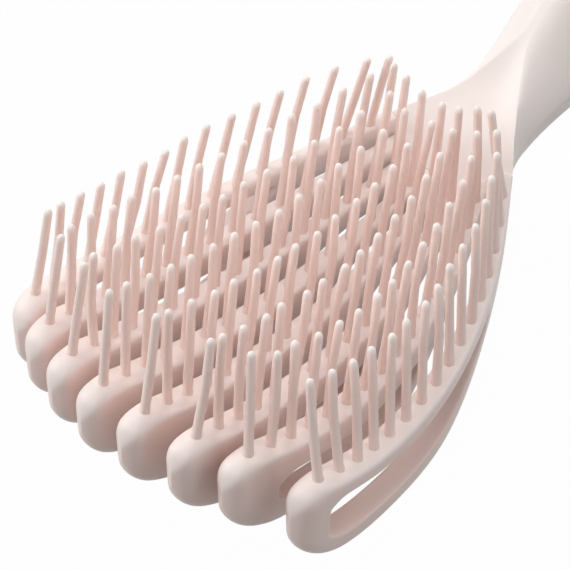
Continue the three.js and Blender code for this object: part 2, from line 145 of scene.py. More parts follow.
@dataclass(frozen=True)
class FingerLine:
    """Lines of one finger.

    side runs from -1 at the far left finger to 1 at the far right one. Widths and lengths are in
    millimetres and angles in degrees.
    """

    side: float
    handle: HandleLine = HandleLine()
    row_length: float = 75.0
    front_half_span: float = 31.5
    rear_half_span: float = 14.1
    front_flare: float = 7.2
    rear_taper: float = 32.6
    front_setback: float = 10.5
    rear_setback: float = 4.0
    row_sag: float = 6.2
    front_lift: float = 0.5
    middle_dip: float = 0.45
    side_front_drop: float = 3.9
    side_middle_rise: float = 1.6
    swell_shift: float = 1.3
    side_rear_rise: float = 4.7
    front_width: float = 6.2
    rear_width: float = 3.2
    nose_lead: float = 5.3
    nose_top_radius: float = 6.2
    nose_bottom_radius: float = 5.6
    nose_side_radius: float = 3.0
    loop_depth: float = 14.6
    front_depth: float = 0.4
    side_front_depth: float = 1.2
    front_share: float = 0.26
    rail_depth: float = 3.1
    inner_rail: float = 3.8
    back_strap: float = 3.5
    inner_strap: float = 0.2
    window_start: float = 0.1
    inner_window_start: float = 4.9
    window_end_gap: float = 1.5
    window_samples: int = 400
    taper_start: float = 30.0
    taper_end: float = 71.0
    root_drop: float = 3.2
    step_behind_pin: float = 1.9
    hinge_behind_pin: float = 4.4
    hinge_side_rise: float = 1.9
    end_gap: float = 0.4
    end_arc: float = 4.0
    stray: float = 0.0
    stray_end: float = 0.35

    @property
    def first_pin(self) -> float:
        """Place of the first pin along y."""
        return self.front_setback * self.side**2

    @property
    def last_pin(self) -> float:
        """Place of the last pin along y."""
        return self.row_length + self.rear_setback * self.side**2

    @property
    def nose(self) -> float:
        """Front of the finger."""
        return self.first_pin - self.nose_lead

    @property
    def end(self) -> float:
        """End of the finger, just short of the handle's lip."""
        middle = self.middle(self.last_pin + self.step_behind_pin)
        return self.handle.mouth_y + float(self.handle.bow(middle)) - self.end_gap

    @property
    def hinge_y(self) -> float:
        """Place of the root bulb along y."""
        return self.last_pin + self.hinge_behind_pin

    @property
    def hinge_z(self) -> float:
        """Height of the root bulb."""
        return float(self.handle.height(self.hinge_y)) + self.hinge_side_rise * self.side**2

    def share(self, y: Real) -> Array:
        """0 at the first pin and 1 at the last."""
        return (y - self.first_pin) / (self.last_pin - self.first_pin)

    def middle(self, y: Real) -> Array:
        """Sideways place: a cubic that flares at the front and closes at the rear.

        The front end strays a little from the even spread, as sprung fingers do.

        Args:
            y: Places along the finger.

        Returns:
            The finger's middle at these places.
        """
        t = self.share(y)
        slopes = self.row_length * np.tan(np.radians([self.front_flare, -self.rear_taper]))
        span = hermite(t, self.front_half_span, self.rear_half_span, *slopes)
        return self.side * span + self.stray * (1 - smooth(t, 0.0, self.stray_end))

    def width(self, y: Real) -> Array:
        """Width across x: tapers to the rear and is rounded at the nose."""
        full = lerp(self.front_width, self.rear_width, np.clip(self.share(y), 0.0, 1.0))
        return full - 2 * corner_drop(y - self.nose, self.nose_side_radius)

    def face(self, y: Real) -> Array:
        """Pin face: a parabola along the row, with the outer fingers turned up to the rear.

        The outer fingers also drop at the front and swell behind the middle, by the square of a
        sine along the row, where the inner ones dip.

        Args:
            y: Places along the finger.

        Returns:
            Heights of the face at these places.
        """
        t = self.share(y)
        out = abs(self.side)
        front = self.front_lift * (1 - t) - self.side_front_drop * out**3
        turn = lerp(front, self.side_rear_rise * out**2, t)
        swell = self.side_middle_rise * out**4 - self.middle_dip
        wave = np.sin(np.pi * np.clip(t, 0, 1) ** self.swell_shift) ** 2
        return self.row_sag * (2 * t - 1) ** 2 + turn + swell * wave

    def back(self, y: Real) -> Array:
        """Back of the loop: a depth below the face, larger at the noses, closing to the root.

        Args:
            y: Places along the finger.

        Returns:
            Heights of the back at these places.
        """
        closing = smooth(y - self.first_pin, self.taper_start, self.taper_end)
        at_front = 1 - smooth(self.share(y), 0.0, self.front_share)
        extra = self.front_depth + self.side_front_depth * self.side**2
        depth = self.loop_depth + extra * at_front
        return lerp(self.face(y) - depth, self.hinge_z - self.root_drop, closing)

    @property
    def window_front(self) -> float:
        """Front end of the window, further back on the inner fingers."""
        return self.first_pin + lerp(self.inner_window_start, self.window_start, self.side**6)

    def window_top(self, y: Real) -> Array:
        """Underside of the rail, which is deeper on the inner fingers."""
        return self.face(y) - self.rail_depth - self.inner_rail * (1 - self.side**2)

    def window_bottom(self, y: Real) -> Array:
        """Inside of the back strap, which is thicker on the inner fingers."""
        return self.back(y) + self.back_strap + self.inner_strap * (1 - self.side**4)

    def window_end(self) -> float:
        """Rear end of the window, from its heights at close places.

        Returns:
            The first place where the closing window is lower than its end gap.
        """
        y = np.linspace(self.window_front, self.last_pin, self.window_samples)
        low = self.window_top(y) - self.window_bottom(y) < self.window_end_gap
        return float(y[np.argmax(low)])


@dataclass(frozen=True)
class RestPose:
    """Turn about x and shift that lay the brush's own frame into the row frame."""

    tilt: float
    shift: Point

    @classmethod
    def from_joints(cls, joints: list[dict[str, Any]], lines: list[FingerLine]) -> "RestPose":
        """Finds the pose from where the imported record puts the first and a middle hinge.

        Args:
            joints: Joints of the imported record, one hinge a finger, in order.
            lines: Lines of the same fingers.

        Returns:
            The pose, with its shift in millimetres.
        """
        a, b = lines[0], lines[len(lines) // 2]
        pa, pb = (np.array(joints[lines.index(k)]["pos_m"]) / MM for k in (a, b))
        own = math.atan2(b.hinge_z - a.hinge_z, b.hinge_y - a.hinge_y)
        laid = math.atan2(pb[2] - pa[2], pb[1] - pa[1])
        turned = cls(laid - own, (0.0, 0.0, 0.0)).turn([0.0, a.hinge_y, a.hinge_z])
        return cls(laid - own, (0.0, float(pa[1] - turned[1]), float(pa[2] - turned[2])))

    def turn(self, vectors: Array | list[float]) -> Array:
        """Turns directions by the tilt about x.

        Args:
            vectors: Directions in the brush's frame, shape (..., 3).

        Returns:
            The same directions in the row frame.
        """
        c, s = math.cos(self.tilt), math.sin(self.tilt)
        x, y, z = np.moveaxis(np.asarray(vectors, float), -1, 0)
        return np.stack([x, y * c - z * s, y * s + z * c], axis=-1)

    def place(self, points: Array) -> Array:
        """Points of the brush's frame, in millimetres, as points of the row frame, in metres."""
        return (self.turn(points) + np.array(self.shift)) * MM


@dataclass(frozen=True)
class Value:
    """A number socket in a node tree: Python operators add the Math nodes."""

    shader: "Shader"
    socket: NodeSocket

    def _math(self, operation: str, a: Any, b: Any) -> "Value":
        """Adds one Math node on two values or numbers."""
        node = self.shader.node("Math", {"operation": operation}, {0: a, 1: b})
        return Value(self.shader, node.outputs[0])

    def __add__(self, other: Any) -> "Value":
        """Sum."""
        return self._math("ADD", self, other)

    __radd__ = __add__

    def __mul__(self, other: Any) -> "Value":
        """Product."""
        return self._math("MULTIPLY", self, other)

    __rmul__ = __mul__

    def __sub__(self, other: Any) -> "Value":
        """Difference."""
        return self._math("SUBTRACT", self, other)

    def __rsub__(self, other: Any) -> "Value":
        """Difference from a number."""
        return self._math("SUBTRACT", other, self)

    def minimum(self, other: Any) -> "Value":
        """The smaller of the two."""
        return self._math("MINIMUM", self, other)


class Shader:
    """The node tree of a material or world, with one method that makes any node."""

    def __init__(self, owner: Material | World) -> None:
        """Starts an empty tree.

        Args:
            owner: The material or world that has the tree.
        """
        self.owner = owner
        owner.use_nodes = True
        self.tree = owner.node_tree
        self.tree.nodes.clear()

    def node(self, kind: str, settings: dict[str, Any], inputs: dict[Any, Any]) -> Node:
        """Adds a node.

        Args:
            kind: Blender's type name of the node, after the word ShaderNode.
            settings: Properties to set first.
            inputs: Socket name or number to a Value, a socket, a number or three numbers.

        Returns:
            The node.
        """
        made = self.tree.nodes.new(f"ShaderNode{kind}")
        for key, value in settings.items():
            setattr(made, key, value)
        for key, value in inputs.items():
            value = value.socket if isinstance(value, Value) else value
            if isinstance(value, NodeSocket):
                self.tree.links.new(value, made.inputs[key])
            elif made.inputs[key].type == "RGBA":
                made.inputs[key].default_value = (*value, 1.0)
            else:
                made.inputs[key].default_value = value
        return made

    def value(
        self, kind: str, settings: dict[str, Any], inputs: dict[Any, Any], output: Any = 0
    ) -> Value:
        """Adds a node and wraps one of its outputs."""
        return Value(self, self.node(kind, settings, inputs).outputs[output])

    def coordinates(self) -> NodeSocket:
        """Object coordinates, in metres of the row frame."""
        return self.node("TexCoord", {}, {}).outputs["Object"]

    def attribute(self, name: str) -> Value:
        """A number that is stored on the points of the mesh."""
        return self.value("Attribute", {"attribute_name": name}, {}, "Fac")

    def noise(self, scale: float, detail: float, roughness: float = 0.55) -> Value:
        """Noise from 0 to 1 on Object coordinates."""
        inputs = {
            "Vector": self.coordinates(), "Scale": scale, "Detail": detail, "Roughness": roughness,
        }
        return self.value("TexNoise", {}, inputs)

    def ease(self, at: Any, span: Span, ends: Span) -> Value:
        """Smooth step from one end value to the other while its input runs over a span."""
        inputs = dict(enumerate((at, *span, *ends)))
        return self.value("MapRange", {"interpolation_type": "SMOOTHSTEP"}, inputs)

    def mix_colour(self, factor: Value, a: Colour, b: Colour) -> NodeSocket:
        """Colour mix by a factor; the numbers are the Mix node's colour sockets."""
        inputs = {0: factor, 6: a, 7: b}
        return self.node("Mix", {"data_type": "RGBA"}, inputs).outputs[2]


def linear(red: int, green: int, blue: int) -> Colour:
    """Screen colour from 0 to 255 as linear colour, by the sRGB curve."""
    v = np.array([red, green, blue]) / 255.0
    return tuple(np.where(v <= 0.04045, v / 12.92, ((v + 0.055) / 1.055) ** 2.4).tolist())


@dataclass(frozen=True)
class SatinPlastic:
    """Moulded satin plastic: faint clouding of the colour and a very fine moulded grain.

    Each noise is a scale and a detail. A swing is how far a noise changes its value.

    Attributes:
        shine: Strength of the highlights under the coat.
        grain: Depth of the grain in metres.
        glow: Weight of the light that passes under the surface.
        depth: How far it passes, in metres.
        spread: Share of that depth for red, green and blue.
        tint: Middle factor from pale to deep.
    """

    name: str
    pale: Colour
    deep: Colour
    roughness: float = 0.42
    coat: float = 0.08
    shine: float = 0.42
    grain: float = 0.00003
    glow: float = 0.0
    depth: float = 0.0012
    spread: Colour = (1.0, 0.85, 0.8)
    clouds: Span = (38.0, 3.0)
    patches: Span = (160.0, 4.0)
    ripples: Span = (240.0, 1.0)
    grains: Span = (2600.0, 2.0)
    bump: float = 0.35
    ripple_share: float = 0.8
    roughness_swing: float = 0.16
    coat_roughness: float = 0.3
    tint: float = 0.35
    cloud_swing: float = 0.7

    def material(self) -> Material:
        """Builds the node tree: clouding to colour, patches to roughness, grain to bump.

        Returns:
            The material.
        """
        shader = Shader(bpy.data.materials.new(self.name))
        clouding = (shader.noise(*self.clouds) - 0.5) * self.cloud_swing
        patching = (shader.noise(*self.patches) - 0.5) * self.roughness_swing
        height = shader.noise(*self.grains) + shader.noise(*self.ripples) * self.ripple_share
        inputs = {"Strength": self.bump, "Distance": self.grain, "Height": height}
        bump = shader.node("Bump", {}, inputs)
        factor = clouding + self.middle_tint(shader)
        principled = shader.node("BsdfPrincipled", {}, {
            "Base Color": shader.mix_colour(factor, self.pale, self.deep),
            "Roughness": patching + self.roughness,
            "Coat Weight": self.coat,
            "Coat Roughness": self.coat_roughness,
            "Specular IOR Level": self.shine,
            "Subsurface Weight": self.glow,
            "Subsurface Radius": self.spread,
            "Subsurface Scale": self.depth,
            "Normal": bump.outputs[0],
        })
        shader.node("OutputMaterial", {}, {"Surface": principled.outputs[0]})
        return shader.owner

    def middle_tint(self, shader: Shader) -> Value | float:
        """Factor from pale to deep before the clouding: the same everywhere."""
        return self.tint


@dataclass(frozen=True)
class PinPlasticWithPaintedHighlight(SatinPlastic):
    """Pin plastic with a painted highlight: pale at the very tip and deeper from there to the foot.

    Attributes:
        tip: Share of the pin over which the painted tip highlight gives way to the deeper colour.
        painted_light_tints: Factors from pale to deep, at the tip and at the foot.
    """

    cloud_swing: float = 0.2
    tip: float = 0.09
    painted_light_tints: Span = (0.1, 0.9)

    def middle_tint(self, shader: Shader) -> Value:
        """Factor from pale to deep: rises from the tip to the foot, so the tip has a painted
        highlight.
        """
        return shader.ease(shader.attribute(FOOT), (0.0, self.tip), self.painted_light_tints)


@dataclass(frozen=True)
class LoopPlasticWithPaintedShade(SatinPlastic):
    """Finger plastic with painted shade: pale on the pin face and by the handle, deep on the sides.

    Attributes:
        shade_fading: Places along y, in metres of the row frame, between which the painted shade
            pales.
        painted_light_tints: Factors from pale to deep at these places.
        edge: Share of the loop's depth over which the painted shade deepens below the pin face.
        face_share: Share of the factor that the pin face keeps.
    """

    cloud_swing: float = 0.2
    shade_fading: Span = (-0.066, -0.026)
    painted_light_tints: Span = (0.9, 0.1)
    edge: float = 0.1
    face_share: float = 0.3

    def middle_tint(self, shader: Shader) -> Value:
        """Factor from pale to deep, as painted shade: falls towards the handle and towards the pin
        face.

        Args:
            shader: The material's tree.

        Returns:
            The factor.
        """
        y = shader.value("SeparateXYZ", {}, {0: shader.coordinates()}, "Y")
        # Painted shade: deeper on the sides below the pin face, where the loops lie in shade.
        below = shader.ease(shader.attribute(DEPTH), (0.0, self.edge), (self.face_share, 1.0))
        return shader.ease(y, self.shade_fading, self.painted_light_tints) * below


def mesh_object(name: str, points: Array, faces: Array, material: Material) -> Object:
    """Makes a smooth object from arrays.

    Args:
        name: Name of the piece.
        points: Points in the row frame, in metres, shape (n, 3).
        faces: Corner numbers, shape (m, corners).
        material: Finish of the piece.

    Returns:
        The object, at the origin.
    """
    mesh = bpy.data.meshes.new(name)
    mesh.from_pydata(points.tolist(), [], faces.tolist(), shade_flat=False)
    mesh.validate()
    mesh.materials.append(material)
    made = bpy.data.objects.new(name, mesh)
    bpy.context.scene.collection.objects.link(made)
    return made


def store(made: Object, name: str, values: Array) -> None:
    """Stores one number for each point of an object's mesh."""
    attribute = made.data.attributes.new(name, "FLOAT", "POINT")
    attribute.data.foreach_set("value", values.astype(np.float32).ravel())


def lattice_faces(filled: Array) -> Array:
    """Outer faces of a block of cells: one wherever a filled cell meets an empty one.

    Args:
        filled: Which cells are filled, shape (i, j, k).

    Returns:
        Corner numbers of the faces, pointing outwards, on a lattice one larger each way.
    """
    shape = tuple(n + 1 for n in filled.shape)
    number = np.arange(np.prod(shape)).reshape(shape)
    padded = np.pad(filled, 1)
    faces = []
    for axis in range(3):
        turn = (axis, (axis + 1) % 3, (axis + 2) % 3)
        order = np.transpose(number, turn)
        cells = np.transpose(padded, turn)[:, 1:-1, 1:-1]
        before, after = cells[:-1], cells[1:]
        a, b = order[:, :-1, :-1], order[:, 1:, :-1]
        c, d = order[:, 1:, 1:], order[:, :-1, 1:]
        quads = np.stack([a, b, c, d], axis=-1)
        faces.append(quads[before & ~after])
        faces.append(quads[~before & after][:, ::-1])
    return np.concatenate(faces)


def tube_faces(rings: int, around: int) -> Array:
    """Faces of a tube: quads between neighbouring rings, and a strip of quads over each end.

    Args:
        rings: Number of rings.
        around: Even number of points of each ring.

    Returns:
        Corner numbers, shape (faces, 4).
    """
    ring, k = np.meshgrid(np.arange(rings - 1), np.arange(around), indexing="ij")
    a, b = ring * around + k, ring * around + (k + 1) % around
    sides = np.stack([a, b, b + around, a + around], axis=-1).reshape(-1, 4)
    k = np.arange(around // 2 - 1)
    rim = np.stack([k, k + 1, around - 2 - k, around - 1 - k], axis=-1)
    return np.concatenate([sides, rim[:, ::-1], rim + (rings - 1) * around])


@dataclass(frozen=True)
class Finger:
    """One looped finger: rail, rounded nose, back strap and window, as a smooth cage of cells.

    Sizes are in millimetres. An edge is a softness: how far the cage's next line lies from it.
    Steps are stations behind the nose's front, behind the window's front and before the end. Counts
    are the stations of the solid part, of the window behind its steps and of the root.

    Attributes:
        draft: Share of its width that a finger loses from the pin face to the depth of the loop.
        pull: Share of the softness by which the cage's corners are drawn in, to a circle's middle.
        nose_shares: Places of the window's two levels in the solid nose.
        edge_limit: Largest share of a bar that the softness of one edge takes up.
        window_layer: Layer of the cage's cells that the window opens.
    """

    number: int
    line: FingerLine
    rail_edge: float = 1.0
    strap_edge: float = 0.8
    nose_edge: float = 2.5
    root_edge: float = 0.4
    nose_span: Span = (2.0, 4.0)
    root_span: float = 8.0
    roof_round: float = 2.2
    floor_round: float = 1.3
    draft: float = 0.22
    pull: float = 0.29
    round_length: float = 3.0
    nose_whole: float = 2.8
    nose_shares: Span = (0.42, 0.6)
    edge_limit: float = 0.4
    window_limit: float = 0.3
    window_layer: int = 3
    nose_steps: tuple[float, ...] = (0.0, 0.5, 1.6, 3.0)
    solid_lead: float = 4.4
    solid_share: float = 0.35
    window_steps: tuple[float, ...] = (0.0, 0.7, 2.2)
    window_even: float = 5.0
    end_steps: tuple[float, ...] = (0.5, 0.15, 0.0)
    counts: tuple[int, int, int] = (4, 11, 6)
    levels: int = 2

    def stations(self) -> tuple[Array, Array]:
        """Stations from the nose to the handle, close at the nose, the window's front and the end.

        Returns:
            Stations along y, and whether the window is open behind each but the last.
        """
        line = self.line
        front, end = line.window_front, line.window_end()
        solids, evens, roots = self.counts
        nose = line.nose + np.array(self.nose_steps)
        behind_nose = min(line.nose + self.solid_lead, lerp(nose[-1], front, self.solid_share))
        solid = np.linspace(behind_nose, front, solids)[:-1]
        window = front + np.array(self.window_steps)
        even = np.linspace(front + self.window_even, end, evens)
        last = line.end - np.array(self.end_steps)
        root = np.linspace(end, last[0], roots)[1:-1]
        y = np.concatenate([nose, solid, window, even, root, last])
        is_open = (y >= front - TINY) & (y < end - TINY)
        return y, is_open[:-1]

    def softness(self, y: Array, edge: float) -> Array:
        """Softness of an edge: larger round the nose, and crisp beside the handle.

        Args:
            y: Stations.
            edge: Softness between nose and handle.

        Returns:
            Softness at the stations.
        """
        line = self.line
        at_nose = 1 - smooth(y, line.nose + self.nose_span[0], line.first_pin + self.nose_span[1])
        at_root = smooth(y, line.last_pin - self.root_span, line.end)
        return lerp(lerp(edge, self.nose_edge, at_nose), self.root_edge, at_root)

    def levels_at(self, y: Array) -> Array:
        """Heights of the cage's eight levels: strap, window and rail with soft edges.

        Args:
            y: Stations.

        Returns:
            Heights, shape (stations, 8).
        """
        line = self.line
        front, end = line.window_front, line.window_end()
        low = line.back(y) + corner_drop(y - line.nose, line.nose_bottom_radius)
        high = line.face(y) - corner_drop(y - line.nose, line.nose_top_radius)
        near = np.clip(y, front, end)
        whole = line.face(near) - line.back(near)
        closing = 1 - smooth(near, front, front + self.round_length)
        roof = line.window_top(near) - self.roof_round * closing
        floor = line.window_bottom(near) + self.floor_round * closing
        at_nose = 1 - smooth(y, line.nose + self.nose_whole, front)
        bottom, top = (
            lerp(low, high, lerp((z - line.back(near)) / whole, at_front, at_nose))
            for z, at_front in zip((floor, roof), self.nose_shares)
        )
        rail = np.minimum(self.softness(y, self.rail_edge), (high - top) * self.edge_limit)
        strap = np.minimum(self.softness(y, self.strap_edge), (bottom - low) * self.edge_limit)
        room = np.minimum(bottom - low, high - top)
        soft = np.minimum(self.strap_edge, room * self.window_limit)
        return np.stack(
            [low, low + strap, bottom - soft, bottom, top, top + soft, high - rail, high], axis=-1
        )

    def build(self, pose: RestPose, finish: Material) -> Object:
        """Carries the cage's side view across the width in three soft-edged columns.

        Each place narrows with its depth below the pin face, and the end is bowed to keep an even
        gap to the handle's lip.

        Args:
            pose: Where the brush lies.
            finish: The finger's plastic.

        Returns:
            The finger's object.
        """
        y, is_open = self.stations()
        z = self.levels_at(y)
        line = self.line
        width = line.width(y)
        edge = np.minimum(self.softness(y, self.rail_edge), width * self.edge_limit)
        across = np.stack([-width / 2, edge - width / 2, width / 2 - edge, width / 2], axis=-1)
        shape = (len(y), z.shape[1], across.shape[1])
        depth = np.broadcast_to(((z[:, -1:] - z) / line.loop_depth)[:, :, None], shape)
        x = across[:, None, :] * (1 - self.draft * depth)
        z = np.broadcast_to(z[:, :, None], shape).copy()
        rows, columns = np.array([[0], [-1]]), np.array([[0, -1]])
        inner_rows, inner_columns = np.array([[1], [-2]]), np.array([[1, -2]])
        x[:, rows, columns] = lerp(x[:, rows, columns], x[:, rows, inner_columns], self.pull)
        z[:, rows, columns] = lerp(z[:, rows, columns], z[:, inner_rows, columns], self.pull)
        x = x + line.middle(y)[:, None, None]
        bow = line.handle.bow(x) - line.handle.bow(line.middle(y))[:, None, None]
        bowed = y[:, None, None] + bow * smooth(y, line.end - line.end_arc, line.end)[:, None, None]
        points = np.stack([x, bowed, z], axis=-1)
        filled = np.ones([n - 1 for n in shape], bool)
        filled[is_open, self.window_layer, :] = False
        faces = lattice_faces(filled)
        used, index = np.unique(faces, return_inverse=True)
        points = pose.place(points.reshape(-1, 3)[used])
        made = mesh_object(f"finger_{self.number}_loop", points, index.reshape(faces.shape), finish)
        store(made, DEPTH, depth.reshape(-1)[used])
        smoothing = made.modifiers.new("rounding", "SUBSURF")
        smoothing.levels = smoothing.render_levels = self.levels
        return made


@dataclass(frozen=True)
class PinRow:
    """Sixteen pins along one finger: tapered, round-tipped, each leaning a little its own way.

    Sizes are in millimetres and leans in degrees. Places where something changes are shares of the
    row: behind the front, turning to the last pin, and ending.

    Attributes:
        shortening_from: Distance behind the first pin from which the length changes to the last.
        forward: Distance by which the feet behind the front stand forward of their even places.
        first_leans: Further leans of each finger's first pin, to the right and to the rear.
        last_leans: The same for each finger's last pin, which the ones before it share in part.
        seed_step: Distance between the fingers' numbers for the scatter.
        rings: Shares along a pin at which its rings lie; the first is the sunk foot.
        caps: Factors of the rings' radii, which round the tip.
    """

    number: int
    line: FingerLine
    count: int = 16
    length: float = 18.5
    inner_last_length: float = 19.7
    outer_last_length: float = 17.4
    shortening_from: float = 62.0
    foot_radius: float = 0.84
    tip_radius: float = 0.7
    flare: float = 0.08
    sunk: float = 0.9
    back_lean: float = 3.4
    middle_lean: float = 8.0
    last_lean: float = 2.9
    forward: float = 1.5
    behind: Span = (0.03, 0.3)
    turning: float = 0.93
    inward_lean: float = 8.5
    own_lean: float = 1.3
    bow: float = 0.35
    first_leans: tuple[Span, ...] = (
        (0.3, 2.0), (4.2, 2.8), (5.1, 3.6), (1.3, 2.3),
        (0.0, 4.7), (1.0, 7.0), (-3.4, 5.1), (0.0, 0.5),
    )
    last_leans: tuple[Span, ...] = (
        (4.5, -3.7), (2.5, -0.7), (1.9, 2.2), (1.0, 0.5),
        (1.6, 0.7), (0.0, -2.7), (-2.9, -2.0), (-2.5, -6.0),
    )
    ending: float = 0.85
    front_extra: float = 0.3
    extra_until: float = 0.4
    seed_step: int = 31
    around: int = 8
    fillet: float = 0.04
    rings: tuple[float, ...] = (-0.05, 0.0, 0.04, 0.5, 0.945, 0.978, 0.994, 1.0)
    caps: tuple[float, ...] = (1.0, 1.0, 1.0, 1.0, 1.02, 0.88, 0.5, 0.02)

    def radii(self) -> Array:
        """Profile of a pin: sunk foot, fillet that falls as a square, long taper and round tip.

        Returns:
            Radii of the rings.
        """
        share = np.array(self.rings)
        taper = lerp(self.foot_radius, self.tip_radius, np.clip(share, 0.0, 1.0))
        fillet = self.flare * np.clip(1 - share / self.fillet, 0.0, 1.0) ** 2
        return (taper + fillet) * np.array(self.caps)

    def build(self, pose: RestPose, finish: Material) -> Object:
        """Turns the profile about each pin's own leaning, slightly bowed line.

        Args:
            pose: Where the brush lies.
            finish: The pins' plastic.

        Returns:
            One object with all the row's pins.
        """
        line = self.line
        even = np.linspace(line.first_pin, line.last_pin, self.count)
        share = line.share(even)
        behind = smooth(share, *self.behind)
        turning, ending = (smooth(share, start, 1.0) for start in (self.turning, self.ending))
        y = even - self.forward * behind
        back = lerp(lerp(self.back_lean, self.middle_lean, behind), self.last_lean, turning)
        foot = np.stack([line.middle(y), y, line.face(y)], axis=-1)
        shorter = smooth(even, line.first_pin + self.shortening_from, line.last_pin)
        last_length = lerp(self.inner_last_length, self.outer_last_length, line.side**4)
        longer = self.front_extra * (1 - smooth(share, 0.0, self.extra_until))
        length = lerp(self.length, last_length, shorter) + longer
        order = np.arange(self.count) + self.seed_step * self.number
        lean = np.stack([
            self.own_lean * scatter(order, 1.0) - line.side**5 * self.inward_lean,
            self.own_lean * scatter(order, 2.0) + back,
        ], axis=-1)
        lean[0] += np.array(self.first_leans[self.number - 1])
        lean += ending[:, None] * np.array(self.last_leans[self.number - 1])
        lean = np.concatenate([np.tan(np.radians(lean)), np.ones((self.count, 1))], axis=-1)
        lean /= np.linalg.norm(lean, axis=-1, keepdims=True)
        share = np.array(self.rings)
        above = np.clip(share, 0.0, 1.0)
        height = np.where(share < 0, -self.sunk, share * length[:, None])
        bow = np.stack([scatter(order, 3.0), scatter(order, 4.0), np.zeros(self.count)], axis=-1)
        along = foot[:, None, :] + lean[:, None, :] * height[..., None]
        along = along + self.bow * bow[:, None, :] * (above * (1 - above) * 4)[:, None]
        angle = np.linspace(0, 2 * math.pi, self.around, endpoint=False)
        out = np.stack([np.cos(angle), np.sin(angle), np.zeros(self.around)], axis=-1)
        points = along[:, :, None, :] + out * self.radii()[:, None, None]
        offset = np.arange(self.count)[:, None, None] * len(share) * self.around
        faces = (tube_faces(len(share), self.around) + offset).reshape(-1, 4)
        points = pose.place(points)
        made = mesh_object(f"finger_{self.number}_pins", points.reshape(-1, 3), faces, finish)
        store(made, FOOT, np.broadcast_to((1 - above)[None, :, None], points.shape[:3]))
        return made


